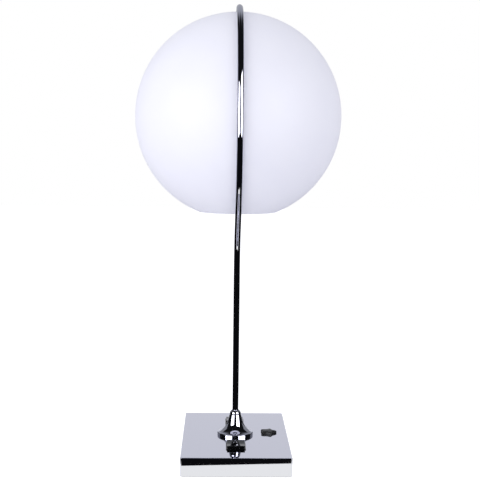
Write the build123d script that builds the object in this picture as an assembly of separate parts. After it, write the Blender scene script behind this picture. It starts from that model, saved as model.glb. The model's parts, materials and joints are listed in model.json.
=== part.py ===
from build123d import *
from math import asin, cos, degrees, radians, sin, sqrt, tan
import os

# Table lamp: an oblong chrome base, a thin chrome tube that bows forward and arches over an opal globe.
# Millimetres. Z is up from the table, the viewer looks along +Y, and the stem rises on the Z axis.

# Base
base_width = 154.0
base_depth = 233.0
base_height = 27.0
cover_sheet = 1.5
cover_corner_r = 2.0
cover_edge_r = 1.0
skirt_gap = 1.0
felt_thickness = 2.0
plate_thickness = 1.5
plate_gap = 0.4
ballast_thickness = 11.0
ballast_gap = 2.0
ballast_slot_gap = 6.0
ballast_pocket_gap = 1.5

# Base screws and pillars
pillar_inset = 18.0
pillar_d = 8.0
screw_d = 4.0
screw_head_d = 8.0
screw_head_h = 1.4
screw_bite = 8.0
head_gap = 1.0
hole_gap = 0.25
thread_gap = 0.05

# Cord inlet in the rear wall
inlet_bore_d = 6.8
inlet_neck_d = 8.8
inlet_flange_d = 11.4
inlet_flange_t = 1.5
inlet_gap = 0.1
inlet_channel_gap = 1.0

# Stem tube and the arch over the globe
tube_d = 9.0
tube_wall = 1.0
flex_d = 4.4
lean_angle = 48.0
lower_bend_r = 85.0
upper_bend_r = 14.0
arch_gap = 1.2

# Stem foot
nipple_wall = 1.0
nipple_gap = 0.5
nipple_drop = 9.5
nipple_bore_d = 6.0
shoulder_d = 16.0
shoulder_t = 3.0
tube_seat = 4.0
stem_washer_d = 20.0
stem_washer_t = 1.5
stem_nut_af = 17.0
stem_nut_t = 5.0

# Trumpet foot and its collar
bell_rim_d = 52.8
bell_rim_t = 4.8
bell_rim_round = 1.8
bell_neck_d = 16.8
bell_height = 30.5
bell_cone_h = 9.0
bell_taper = 12.5
bell_wall = 1.8
bell_lip_h = 4.0
bell_gap = 0.2
collar_step = 0.2
collar_h = 6.2
collar_band_h = 1.4
collar_dome_r = 8.6
collar_taper = 12.0
grub_d = 2.0
grub_height = 2.2
grub_inset = 1.2

# Rocker switches, one before the foot and its twin behind it
switch_gap = 19.7
rocker_width = 25.4
rocker_r = 15.5
rocker_crown = 7.3
rocker_dish_r = 125.0
rocker_tilt = 3.0
rocker_skirt = 8.0
rocker_pin_d = 3.0
rocker_pin_l = 1.0
pin_gap = 0.05
rocker_gap = 0.3
housing_wall = 0.8
housing_depth = 17.0
floor_gap = 0.8
bezel_lip = 0.3
bezel_h = 1.0
cutout_gap = 0.2
pivot_depth = 2.5
tab_width = 4.8
tab_thickness = 0.8
tab_gap = 1.5
tab_spread_x = 8.0
tab_spread_y = 12.0

# Dimmer and its star knob
dimmer_from_edge = 27.8
dimmer_y = 6.0
dimmer_body_d = 20.0
dimmer_body_h = 8.8
bush_d = 7.0
bush_flange_d = 10.4
bush_flange_t = 0.5
bush_length = 6.0
dimmer_nut_af = 10.0
dimmer_nut_t = 2.0
shaft_d = 4.0
shaft_play = 0.05
shaft_depth = 5.0
knob_gap = 0.3
knob_height = 3.9
knob_edge_h = 2.8
knob_top_share = 0.72
knob_point_r = 13.4
knob_notch_r = 8.6
knob_points = 5
knob_round = 1.2
knob_skin = 0.7
dimmer_pin_length = 8.0
dimmer_pin_thickness = 0.8
dimmer_pin_width = 2.4
dimmer_pin_pitch = 5.0
dimmer_pin_lift = 2.5

# Terminal block and leads
block_width = 24.0
block_length = 20.0
block_height = 7.0
block_screw_d = 3.2
block_screw_h = 0.8
block_screw_pitch_x = 17.0
block_screw_pitch_y = 14.0
lead_d = 1.8
lead_bend_r = 3.0
dimmer_lead_x = 6.0

# Globe
globe_d = 300.0
globe_wall = 2.5
globe_offset = 20.0
globe_centre_z = 494.8
mouth_d = 113.0
mouth_round = 0.8
top_hole_gap = 0.5

# Carrier that the globe hangs on
sleeve_wall = 1.0
sleeve_start = 1.5
sleeve_over = 1.0
sleeve_under = 9.0
tube_end_gap = 2.5
carrier_sheet = 1.5
carrier_seat_width = 12.0
carrier_seat_gap = 3.5
carrier_hub_gap = 3.0
carrier_nut_af = 14.0
carrier_nut_t = 4.0
gasket_t = 1.5
gasket_inset = 0.5
gasket_gap = 0.05

# Lampholder and bulb, hung below the carrier
holder_wall = 4.8
holder_top_gap = 2.0
cap_top_d = 20.0
cap_slope_h = 10.0
cap_height = 28.0
cap_wall = 1.6
cap_gap = 0.2
holder_neck_h = 10.0
holder_length = 38.0
socket_depth = 32.0
shell_wall = 0.65
shell_gap = 0.1
shell_length = 26.0
contact_d = 8.0
contact_t = 2.5
lamp_cap_d = 26.4
lamp_gap = 0.25
lamp_cap_length = 22.0
lamp_cap_cone_h = 2.6
lamp_tip_d = 9.6
lamp_tip_h = 0.8
lamp_cap_wall = 0.4
bulb_d = 60.0
bulb_neck_gap = 0.3
bulb_drop = 80.0
bulb_wall = 0.8
bulb_inset = 2.0

# Levels and radii that follow from the sizes above
plate_top = felt_thickness + plate_thickness
ballast_top = plate_top + ballast_thickness
cover_under = base_height - cover_sheet
inner_width = base_width - 2 * cover_sheet
inner_depth = base_depth - 2 * cover_sheet
tube_r = tube_d / 2
nipple_d = tube_d + 2 * nipple_wall
nipple_foot = base_height - nipple_drop
tube_start = base_height + tube_seat
bell_top = base_height + bell_height
nipple_top = bell_top - nipple_gap
collar_d = bell_neck_d - 2 * collar_step
pillar_pitch_x = base_width - 2 * pillar_inset
pillar_pitch_y = base_depth - 2 * pillar_inset
inlet_z = (plate_top + cover_under) / 2
block_top = plate_top + block_height
pivot_z = base_height - pivot_depth
housing_base = base_height - housing_depth
cavity_width = rocker_width + 2 * rocker_gap
cavity_length = 2 * (rocker_r + rocker_gap)
housing_width = cavity_width + 2 * housing_wall
housing_length = cavity_length + 2 * housing_wall
bezel_width = housing_width + 2 * bezel_lip
bezel_length = housing_length + 2 * bezel_lip
switch_offset = (bell_rim_d + bezel_length) / 2 + switch_gap
cavity_floor = pivot_z - rocker_r * sin(radians(rocker_skirt + rocker_tilt)) - floor_gap
tab_foot = plate_top + tab_gap
ballast_slot_width = housing_width + 2 * ballast_slot_gap
ballast_slot_length = 2 * switch_offset + housing_length + 2 * ballast_slot_gap
dimmer_x = base_width / 2 - dimmer_from_edge
bush_foot = base_height - bush_length
dimmer_top = cover_under - dimmer_nut_t
dimmer_base = dimmer_top - dimmer_body_h
knob_base = base_height + knob_gap
lead_z = (tab_foot + housing_base) / 2
globe_r = globe_d / 2
globe_inner_r = globe_r - globe_wall
arch_r = globe_r + arch_gap + tube_r
arch_end_angle = degrees(asin(upper_bend_r / (arch_r - upper_bend_r)))
bend_end_z = globe_centre_z + (arch_r - upper_bend_r) * cos(radians(arch_end_angle))
top_hole_d = 2 * (upper_bend_r + top_hole_gap)
sleeve_d = tube_d + 2 * sleeve_wall
sleeve_top = bend_end_z - sleeve_start
seat_r = globe_inner_r - gasket_t
carrier_seat_d = top_hole_d + 2 * carrier_seat_gap
carrier_rim_d = carrier_seat_d + 2 * carrier_seat_width
carrier_hub_d = carrier_nut_af / cos(radians(30)) + 2 * carrier_hub_gap
carrier_top = sleeve_top - sleeve_over - carrier_nut_t
carrier_base = carrier_top - carrier_sheet
holder_top = carrier_base - carrier_nut_t - holder_top_gap
sleeve_base = holder_top - cap_wall - sleeve_under
tube_end_z = sleeve_base + tube_end_gap
shell_inner_d = lamp_cap_d + 2 * lamp_gap
shell_outer_d = shell_inner_d + 2 * shell_wall
socket_d = shell_outer_d + 2 * shell_gap
holder_d = socket_d + 2 * holder_wall
cap_base = holder_top - cap_height
holder_base = cap_base - holder_length
socket_floor = holder_base + socket_depth
lamp_tip_z = socket_floor - contact_t
lamp_cap_top = lamp_tip_z - lamp_tip_h - lamp_cap_cone_h
lamp_cap_base = lamp_cap_top - lamp_cap_length
bulb_base = lamp_cap_base - bulb_drop
bulb_neck_d = lamp_cap_d - 2 * lamp_cap_wall - 2 * bulb_neck_gap


# Helpers

ON_REAR_SIDE = (Align.CENTER, Align.MIN, Align.MIN)

def disc(diameter, low, high):
    """Solid cylinder on the Z axis between two heights."""
    return Pos(0, 0, low) * Cylinder(diameter / 2, high - low, align=(Align.CENTER, Align.CENTER, Align.MIN))


def ring(outer_d, inner_d, low, high):
    """Cylinder with a bore right through it."""
    return disc(outer_d, low, high) - disc(inner_d, low, high)


def block(width, length, low, high):
    """Box centred on the Z axis between two heights."""
    return Pos(0, 0, low) * Box(width, length, high - low, align=(Align.CENTER, Align.CENTER, Align.MIN))


def hex_nut(across_flats, bore_d, low, high):
    """Hexagon nut on the Z axis."""
    body = extrude(RegularPolygon(across_flats / 2, 6, major_radius=False), high - low)
    return Pos(0, 0, low) * body - disc(bore_d, low, high)


def arc_about(centre, start, end):
    """Shorter arc from start to end round a centre, in sketch coordinates."""
    middle = Vector(*centre)
    first = Vector(*start) - middle
    last = Vector(*end) - middle
    half_way = (first.normalized() + last.normalized()).normalized()
    return ThreePointArc(Vector(*start), middle + half_way * first.length, Vector(*end))


def turned(*edges):
    """Solid of revolution about Z: sketch x is the radius and sketch y the height."""
    return revolve(Plane.XZ * make_face(edges), Axis.Z)


def four_corners(shape):
    """One copy of a shape at each pillar position."""
    half_x = pillar_pitch_x / 2
    half_y = pillar_pitch_y / 2
    return [Pos(x, y, 0) * shape for x in (-half_x, half_x) for y in (-half_y, half_y)]


def on_head(shape):
    """Move a shape from the stem's axis to the globe's."""
    return Pos(0, globe_offset, 0) * shape


def sphere_height(sphere_r, at_r):
    """Height on a sphere about the globe's centre, at a distance from its axis."""
    return globe_centre_z + sqrt(sphere_r**2 - at_r**2)


# Base

def felt_pad():
    pad = block(inner_width - 2 * plate_gap, inner_depth - 2 * plate_gap, 0, felt_thickness)
    for hole in four_corners(disc(screw_head_d + 2 * head_gap, 0, felt_thickness)):
        pad -= hole
    return pad


def bottom_plate():
    plate = block(inner_width - 2 * plate_gap, inner_depth - 2 * plate_gap, felt_thickness, plate_top)
    for hole in four_corners(disc(screw_d + 2 * hole_gap, felt_thickness, plate_top)):
        plate -= hole
    return plate


def ballast_weight():
    depth = inner_depth - 2 * ballast_gap
    slab = block(inner_width - 2 * ballast_gap, depth, plate_top, ballast_top)
    slab -= block(ballast_slot_width, ballast_slot_length, plate_top, ballast_top)
    slab -= Pos(dimmer_x, dimmer_y, 0) * disc(dimmer_body_d + 2 * ballast_pocket_gap, plate_top, ballast_top)
    channel = Box(inlet_flange_d + 2 * inlet_channel_gap, depth / 2, ballast_thickness, align=ON_REAR_SIDE)
    slab -= Pos(0, 0, plate_top) * channel
    for hole in four_corners(disc(screw_d + 2 * hole_gap, plate_top, ballast_top)):
        slab -= hole
    return slab


def cover_pillars():
    thread = disc(screw_d + 2 * thread_gap, ballast_top, ballast_top + screw_bite + head_gap)
    return Compound(four_corners(disc(pillar_d, ballast_top, cover_under) - thread))


def bottom_screws():
    head = disc(screw_head_d, felt_thickness - screw_head_h, felt_thickness)
    shank = disc(screw_d, felt_thickness, ballast_top + screw_bite)
    return Compound(four_corners(head + shank))


def switch_cutout():
    width = housing_width + 2 * cutout_gap
    length = housing_length + 2 * cutout_gap
    return Pos(0, -switch_offset, 0) * block(width, length, cover_under, base_height)


def inlet_axis(shape):
    """Turn a shape from the Z axis to the rear wall's inlet, with Z pointing out of the wall."""
    return Pos(0, base_depth / 2, inlet_z) * Rot(-90, 0, 0) * shape


def base_cover():
    outline = RectangleRounded(base_width, base_depth, cover_corner_r)
    shell = Pos(0, 0, skirt_gap) * extrude(outline, base_height - skirt_gap)
    shell = fillet(shell.faces().sort_by(Axis.Z)[-1].edges(), cover_edge_r)
    shell -= block(inner_width, inner_depth, skirt_gap, cover_under)
    shell -= disc(nipple_d + 2 * hole_gap, cover_under, base_height)
    shell -= Pos(dimmer_x, dimmer_y, 0) * disc(bush_d + 2 * hole_gap, cover_under, base_height)
    shell -= switch_cutout()
    shell -= Rot(0, 0, 180) * switch_cutout()
    shell -= inlet_axis(disc(inlet_neck_d + 2 * inlet_gap, -cover_sheet, 0))
    return shell


def cord_grommet():
    low = -cover_sheet - inlet_gap
    body = disc(inlet_neck_d, low, inlet_gap)
    body += disc(inlet_flange_d, inlet_gap, inlet_gap + inlet_flange_t)
    body += disc(inlet_flange_d, low - inlet_flange_t, low)
    body -= disc(inlet_bore_d, low - inlet_flange_t, inlet_gap + inlet_flange_t)
    return inlet_axis(body)


# Rocker switches, made for the front and turned half round for the rear

def switch_housing():
    body = block(housing_width, housing_length, housing_base, base_height)
    body += block(bezel_width, bezel_length, base_height, base_height + bezel_h)
    body -= block(cavity_width, cavity_length, cavity_floor, base_height + bezel_h)
    pin_hole_d = rocker_pin_d + 2 * pin_gap
    body -= Pos(0, 0, pivot_z) * Rot(0, 90, 0) * disc(pin_hole_d, -housing_width / 2, housing_width / 2)
    return Pos(0, -switch_offset, 0) * body


def rocker():
    dish_z = rocker_crown + rocker_dish_r
    corner_z = (rocker_r**2 + dish_z**2 - rocker_dish_r**2) / (2 * dish_z)
    corner_y = sqrt(rocker_r**2 - corner_z**2)
    skirt_y = rocker_r * cos(radians(rocker_skirt))
    skirt_z = -rocker_r * sin(radians(rocker_skirt))
    profile = make_face([
        ThreePointArc((-corner_y, corner_z), (0, rocker_crown), (corner_y, corner_z)),
        arc_about((0, 0), (corner_y, corner_z), (skirt_y, skirt_z)),
        Line((skirt_y, skirt_z), (-skirt_y, skirt_z)),
        arc_about((0, 0), (-skirt_y, skirt_z), (-corner_y, corner_z)),
    ])
    body = extrude(Plane.YZ * profile, rocker_width / 2, both=True)
    pin_reach = rocker_width / 2 + rocker_pin_l
    body += Rot(0, 90, 0) * disc(rocker_pin_d, -pin_reach, pin_reach)
    return Pos(0, -switch_offset, pivot_z) * Rot(rocker_tilt, 0, 0) * body


def tab_places():
    """Where each switch's two tabs stand: side by side, one further out than the other."""
    inner_y = -switch_offset + tab_spread_y / 2
    outer_y = -switch_offset - tab_spread_y / 2
    return [(-tab_spread_x / 2, inner_y), (tab_spread_x / 2, outer_y)]


def switch_terminals():
    tab = block(tab_width, tab_thickness, tab_foot, housing_base)
    return Compound([Pos(x, y, 0) * tab for x, y in tab_places()])


# Dimmer

def on_dimmer(shape):
    """Move a shape from the stem's axis to the dimmer's."""
    return Pos(dimmer_x, dimmer_y, 0) * shape


def dimmer_body():
    body = disc(dimmer_body_d, dimmer_base, dimmer_top)
    body -= disc(bush_d + 2 * thread_gap, bush_foot, dimmer_top)
    body -= disc(shaft_d + 2 * shaft_play, bush_foot - shaft_depth, bush_foot)
    return on_dimmer(body)


def dimmer_bush():
    body = disc(bush_d, bush_foot, base_height)
    body += disc(bush_flange_d, base_height, base_height + bush_flange_t)
    body -= disc(shaft_d + 2 * shaft_play, bush_foot, base_height + bush_flange_t)
    return on_dimmer(body)


def dimmer_nut():
    return on_dimmer(hex_nut(dimmer_nut_af, bush_d + 2 * thread_gap, dimmer_top, cover_under))


def dimmer_shaft():
    low = bush_foot - shaft_depth + knob_gap
    return on_dimmer(disc(shaft_d, low, knob_base + knob_height - knob_skin))


def dimmer_knob():
    step = 180 / knob_points
    corners = []
    for i in range(2 * knob_points):
        reach = knob_point_r if i % 2 == 0 else knob_notch_r
        corners.append((reach * cos(radians(i * step)), reach * sin(radians(i * step))))
    star = make_face(Polyline(*corners, close=True))
    star = fillet(star.vertices(), knob_round)
    edge_z = knob_base + knob_edge_h
    top_z = knob_base + knob_height
    body = Pos(0, 0, knob_base) * extrude(star, knob_edge_h)
    body += loft([Pos(0, 0, edge_z) * star, Pos(0, 0, top_z) * scale(star, knob_top_share)], ruled=True)
    body -= disc(bush_flange_d + 2 * knob_gap, knob_base, base_height + bush_flange_t + knob_gap)
    body -= disc(shaft_d + 2 * thread_gap, knob_base, top_z - knob_skin)
    return on_dimmer(body)


def dimmer_pin_places():
    return [-dimmer_pin_pitch / 2, dimmer_pin_pitch / 2]


def dimmer_terminals():
    low = dimmer_base + dimmer_pin_lift
    half_chord = dimmer_pin_pitch / 2 + dimmer_pin_width / 2
    flat_x = sqrt((dimmer_body_d / 2)**2 - half_chord**2)
    length = dimmer_pin_length + dimmer_body_d / 2 - flat_x
    pin = Box(length, dimmer_pin_width, dimmer_pin_thickness, align=(Align.MAX, Align.CENTER, Align.MIN))
    body = disc(dimmer_body_d, dimmer_base, dimmer_top)
    pins = [Pos(-flat_x, y, low) * pin - body for y in dimmer_pin_places()]
    return on_dimmer(Compound(pins))


# Terminal block and leads

def terminal_block():
    return block(block_width, block_length, plate_top, block_top)


def terminal_screws():
    screw = disc(block_screw_d, block_top, block_top + block_screw_h)
    half_x = block_screw_pitch_x / 2
    half_y = block_screw_pitch_y / 2
    return Compound([Pos(x, y, 0) * screw for x in (-half_x, half_x) for y in (-half_y, half_y)])


def swept_rod(path, diameter):
    """Round rod along a path, made from a disc square to the path's start."""
    section = Plane(origin=path @ 0, z_dir=path % 0) * Circle(diameter / 2)
    return sweep(section, path=path)


def switch_leads():
    """Straight leads from the block to each switch's tabs."""
    leads = []
    for x, y in tab_places():
        start = (x, -block_length / 2, lead_z)
        end = (x, y + tab_thickness / 2, lead_z)
        leads.append(swept_rod(Wire([Line(start, end)]), lead_d))
    return leads + [Rot(0, 0, 180) * lead for lead in leads]


def dimmer_leads():
    """Leads that rise from the block and run over the ballast to the dimmer's pins."""
    run_z = dimmer_base + dimmer_pin_lift + dimmer_pin_thickness / 2
    end_x = dimmer_x - dimmer_body_d / 2 - dimmer_pin_length
    leads = []
    for y in dimmer_pin_places():
        lead_y = dimmer_y + y
        route = [(dimmer_lead_x, lead_y, block_top), (dimmer_lead_x, lead_y, run_z), (end_x, lead_y, run_z)]
        leads.append(swept_rod(FilletPolyline(*route, radius=lead_bend_r), lead_d))
    return leads


def base_leads():
    return Compound(switch_leads() + dimmer_leads())


# Stem

def bell_foot():
    """Trumpet: a rim with a rounded top edge, an arc that meets it, and a cone tangent to the arc."""
    slope = radians(bell_taper)
    normal = Vector(cos(slope), sin(slope))
    rim_r = bell_rim_d / 2
    foot = Vector(rim_r - bell_rim_round, base_height + bell_rim_t)
    wall_top = foot.Y - bell_rim_round
    neck_r = bell_neck_d / 2
    cone = Vector(neck_r + bell_cone_h * tan(slope), bell_top - bell_cone_h)
    reach = foot - cone
    arc_r = reach.length**2 / (2 * reach.dot(normal))
    centre = cone + normal * arc_r
    inner_arc_r = arc_r + bell_wall
    inner_cone = cone - normal * bell_wall
    inner_rim_r = rim_r - bell_wall
    mouth_z = centre.Y - sqrt(inner_arc_r**2 - (centre.X - inner_rim_r)**2)
    lip_z = bell_top - bell_lip_h
    throat_r = inner_cone.X - (lip_z - inner_cone.Y) * tan(slope)
    middle = (centre.X, centre.Y)
    outside = turned(
        Polyline((0, base_height), (rim_r, base_height), (rim_r, wall_top)),
        arc_about((foot.X, wall_top), (rim_r, wall_top), (foot.X, foot.Y)),
        arc_about(middle, (foot.X, foot.Y), (cone.X, cone.Y)),
        Polyline((cone.X, cone.Y), (neck_r, bell_top), (0, bell_top), (0, base_height)),
    )
    inside = turned(
        Polyline((0, base_height), (inner_rim_r, base_height), (inner_rim_r, mouth_z)),
        arc_about(middle, (inner_rim_r, mouth_z), (inner_cone.X, inner_cone.Y)),
        Polyline((inner_cone.X, inner_cone.Y), (throat_r, lip_z), (0, lip_z), (0, base_height)),
    )
    return outside - inside - disc(nipple_d + 2 * bell_gap, lip_z, bell_top)


def stem_collar():
    """Cap with a short straight band, then a dome that ends flat round the tube."""
    top = bell_top + collar_h
    slope = radians(collar_taper)
    band_top = bell_top + collar_band_h
    centre = (collar_d / 2 - collar_dome_r * cos(slope), band_top - collar_dome_r * sin(slope))
    top_r = centre[0] + sqrt(collar_dome_r**2 - (top - centre[1])**2)
    outside = turned(
        Polyline((0, bell_top), (collar_d / 2, bell_top), (collar_d / 2, band_top)),
        arc_about(centre, (collar_d / 2, band_top), (top_r, top)),
        Polyline((top_r, top), (0, top), (0, bell_top)),
    )
    body = outside - disc(tube_d + 2 * thread_gap, bell_top, top)
    grub_z = bell_top + grub_height
    return body - Pos(0, 0, grub_z) * Rot(-90, 0, 0) * disc(grub_d + 2 * thread_gap, 0, collar_d)


def collar_screw():
    length_from = tube_r + 2 * thread_gap
    length_to = collar_d / 2 - grub_inset
    grub = disc(grub_d, length_from, length_to)
    return Pos(0, 0, bell_top + grub_height) * Rot(-90, 0, 0) * grub


def stem_nipple():
    body = disc(nipple_d, nipple_foot, nipple_top)
    body += disc(shoulder_d, base_height, base_height + shoulder_t)
    body -= disc(nipple_bore_d, nipple_foot, tube_start)
    return body - disc(tube_d + 2 * thread_gap, tube_start, nipple_top)


def stem_washer():
    return ring(stem_washer_d, nipple_d + 2 * hole_gap, cover_under - stem_washer_t, cover_under)


def stem_nut():
    high = cover_under - stem_washer_t
    return hex_nut(stem_nut_af, nipple_d + 2 * thread_gap, high - stem_nut_t, high)


def stem_path(start_z, end_z):
    """The tube's centre line: up, forward through the lower bend, round the globe, and down its axis."""
    lean = radians(lean_angle)
    arc_start_y = globe_offset - arch_r * cos(lean)
    arc_start_z = globe_centre_z - arch_r * sin(lean)
    run = (-arc_start_y - lower_bend_r * (1 - cos(lean))) / sin(lean)
    bend_z = arc_start_z - run * cos(lean) - lower_bend_r * sin(lean)
    rise = Line((0, start_z), (0, bend_z))
    lower_bend = JernArc(rise @ 1, rise % 1, lower_bend_r, lean_angle)
    slant = Line(lower_bend @ 1, (globe_offset - arch_r * cos(lean), arc_start_z))
    arch = JernArc(slant @ 1, slant % 1, arch_r, -(lean_angle + 90 - arch_end_angle))
    turn_down = JernArc(arch @ 1, arch % 1, upper_bend_r, -(90 + arch_end_angle))
    drop = Line(turn_down @ 1, (globe_offset, end_z))
    return Plane.YZ * Wire([rise, lower_bend, slant, arch, turn_down, drop])


def stem_tube():
    path = stem_path(tube_start, tube_end_z)
    return swept_rod(path, tube_d) - swept_rod(path, tube_d - 2 * tube_wall)


def stem_flex():
    return swept_rod(stem_path(block_top, sleeve_base), flex_d)


# Head

def tube_end_sleeve():
    body = ring(sleeve_d, tube_d + 2 * thread_gap, tube_end_z, sleeve_top)
    return on_head(body + ring(sleeve_d, tube_d - 2 * tube_wall, sleeve_base, tube_end_z))


def carrier_upper_nut():
    nut = hex_nut(carrier_nut_af, sleeve_d + 2 * thread_gap, carrier_top, carrier_top + carrier_nut_t)
    return on_head(nut)


def carrier_lower_nut():
    nut = hex_nut(carrier_nut_af, sleeve_d + 2 * thread_gap, carrier_base - carrier_nut_t, carrier_base)
    return on_head(nut)


def shade_carrier():
    centre = (0, globe_centre_z)
    hub_r = carrier_hub_d / 2
    seat_in = carrier_seat_d / 2
    rim = carrier_rim_d / 2
    under_r = seat_r - carrier_sheet
    bore_r = sleeve_d / 2 + thread_gap
    under_in = seat_in + carrier_sheet
    return on_head(turned(
        Polyline((bore_r, carrier_base), (bore_r, carrier_top), (hub_r, carrier_top),
                 (seat_in, sphere_height(seat_r, seat_in))),
        arc_about(centre, (seat_in, sphere_height(seat_r, seat_in)), (rim, sphere_height(seat_r, rim))),
        Line((rim, sphere_height(seat_r, rim)), (rim, sphere_height(under_r, rim))),
        arc_about(centre, (rim, sphere_height(under_r, rim)), (under_in, sphere_height(under_r, under_in))),
        Polyline((under_in, sphere_height(under_r, under_in)), (hub_r + carrier_sheet, carrier_base),
                 (bore_r, carrier_base)),
    ))


def shade_gasket():
    centre = (0, globe_centre_z)
    low_r = seat_r + gasket_gap
    high_r = globe_inner_r - gasket_gap
    inner = carrier_seat_d / 2 + gasket_inset
    outer = carrier_rim_d / 2 - gasket_inset
    return on_head(turned(
        Line((inner, sphere_height(low_r, inner)), (inner, sphere_height(high_r, inner))),
        arc_about(centre, (inner, sphere_height(high_r, inner)), (outer, sphere_height(high_r, outer))),
        Line((outer, sphere_height(high_r, outer)), (outer, sphere_height(low_r, outer))),
        arc_about(centre, (outer, sphere_height(low_r, outer)), (inner, sphere_height(low_r, inner))),
    ))


def globe_shade():
    ball = Pos(0, 0, globe_centre_z) * (Sphere(globe_r) - Sphere(globe_inner_r))
    mouth_z = globe_centre_z - sqrt(globe_r**2 - (mouth_d / 2)**2)
    ball -= disc(globe_d, globe_centre_z - globe_d, mouth_z)
    ball -= disc(top_hole_d, globe_centre_z, globe_centre_z + globe_d)
    lip = ball.faces().filter_by(GeomType.PLANE).sort_by(Axis.Z)[0].edges()
    return on_head(fillet(lip, mouth_round))


def holder_cap():
    slope_z = holder_top - cap_slope_h
    outside = turned(
        Polyline((0, holder_top), (cap_top_d / 2, holder_top), (holder_d / 2, slope_z),
                 (holder_d / 2, cap_base), (0, cap_base), (0, holder_top)),
    )
    inner_r = holder_d / 2 - cap_wall
    inside = turned(
        Polyline((0, holder_top - cap_wall), (cap_top_d / 2 - cap_wall, holder_top - cap_wall),
                 (inner_r, slope_z - cap_wall), (inner_r, cap_base), (0, cap_base),
                 (0, holder_top - cap_wall)),
    )
    body = outside - inside - disc(sleeve_d + 2 * thread_gap, holder_top - cap_wall, holder_top)
    return on_head(body)


def holder_body():
    neck_d = holder_d - 2 * cap_wall - 2 * cap_gap
    body = disc(holder_d, holder_base, cap_base) + disc(neck_d, cap_base, cap_base + holder_neck_h)
    return on_head(body - disc(socket_d, holder_base, socket_floor))


def holder_shell():
    low = socket_floor - contact_t - shell_length
    return on_head(ring(shell_outer_d, shell_inner_d, low, low + shell_length))


def holder_contact():
    return on_head(disc(contact_d, lamp_tip_z, socket_floor))


def bulb_cap():
    cone_top = lamp_cap_top + lamp_cap_cone_h
    body = turned(
        Polyline((0, lamp_cap_base), (lamp_cap_d / 2, lamp_cap_base), (lamp_cap_d / 2, lamp_cap_top),
                 (lamp_tip_d / 2, cone_top), (0, cone_top), (0, lamp_cap_base)),
    )
    return on_head(body - disc(lamp_cap_d - 2 * lamp_cap_wall, lamp_cap_base, lamp_cap_top - lamp_cap_wall))


def bulb_tip():
    return on_head(disc(lamp_tip_d, lamp_tip_z - lamp_tip_h, lamp_tip_z))


def bulb_glass():
    """Pear-shaped lamp glass: a round bottom, a shoulder that draws in, and an open neck inside the cap."""
    ball_r = bulb_d / 2
    neck_r = bulb_neck_d / 2
    ball_z = bulb_base + ball_r
    neck_z = lamp_cap_base
    shoulder_h = neck_z - ball_z
    shoulder_r = (shoulder_h**2 + neck_r**2 - ball_r**2) / (2 * (ball_r - neck_r))
    join = ball_r / (ball_r + shoulder_r)
    join_point = ((neck_r + shoulder_r) * join, ball_z + shoulder_h * join)
    top = lamp_cap_base + lamp_cap_length - bulb_inset

    def body(inset):
        """The outline drawn in by an inset, closed along the axis."""
        outer = ball_r - inset
        share = outer / ball_r
        joint = (join_point[0] * share, ball_z + (join_point[1] - ball_z) * share)
        low = (0, ball_z - outer)
        side = (outer, ball_z)
        neck = (neck_r - inset, neck_z)
        return turned(
            arc_about((0, ball_z), low, side),
            arc_about((0, ball_z), side, joint),
            arc_about((neck_r + shoulder_r, neck_z), joint, neck),
            Polyline(neck, (neck[0], top), (0, top), low),
        )

    return on_head(body(0) - body(bulb_wall))


half_turn = Rot(0, 0, 180)
nodes = {
    "felt_pad": felt_pad(),
    "bottom_plate": bottom_plate(),
    "bottom_screws": bottom_screws(),
    "ballast_weight": ballast_weight(),
    "cover_pillars": cover_pillars(),
    "base_cover": base_cover(),
    "cord_grommet": cord_grommet(),
    "front_switch_housing": switch_housing(),
    "front_rocker": rocker(),
    "front_switch_terminals": switch_terminals(),
    "rear_switch_housing": half_turn * switch_housing(),
    "rear_rocker": half_turn * rocker(),
    "rear_switch_terminals": half_turn * switch_terminals(),
    "dimmer_body": dimmer_body(),
    "dimmer_bush": dimmer_bush(),
    "dimmer_nut": dimmer_nut(),
    "dimmer_shaft": dimmer_shaft(),
    "dimmer_knob": dimmer_knob(),
    "dimmer_terminals": dimmer_terminals(),
    "terminal_block": terminal_block(),
    "terminal_screws": terminal_screws(),
    "base_leads": base_leads(),
    "bell_foot": bell_foot(),
    "stem_collar": stem_collar(),
    "collar_screw": collar_screw(),
    "stem_nipple": stem_nipple(),
    "stem_washer": stem_washer(),
    "stem_nut": stem_nut(),
    "stem_tube": stem_tube(),
    "stem_flex": stem_flex(),
    "tube_end_sleeve": tube_end_sleeve(),
    "carrier_upper_nut": carrier_upper_nut(),
    "shade_carrier": shade_carrier(),
    "carrier_lower_nut": carrier_lower_nut(),
    "shade_gasket": shade_gasket(),
    "globe_shade": globe_shade(),
    "holder_cap": holder_cap(),
    "holder_body": holder_body(),
    "holder_shell": holder_shell(),
    "holder_contact": holder_contact(),
    "bulb_cap": bulb_cap(),
    "bulb_tip": bulb_tip(),
    "bulb_glass": bulb_glass(),
}

os.makedirs("parts", exist_ok=True)
for name, shape in nodes.items():
    export_step(shape, f"parts/{name}.step")
print(len(nodes), "nodes written")
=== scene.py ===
# %% [markdown]
# # A chrome table lamp with an opal globe
# The lamp stands on an oblong chrome base. A thin chrome tube rises from a trumpet-shaped foot, bows
# forward and arches over a white globe, which hangs from the tube's end. Two black rocker switches and
# a star-shaped dimmer knob sit on the base.
#
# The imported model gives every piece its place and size. This lesson dresses it: each visible piece is
# worked out as a surface on a grid, and each finish is built from shader nodes.

# %% Load the frame
import json
from math import radians

import bmesh
import bpy
import numpy as np
from mathutils import Matrix, Vector


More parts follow.
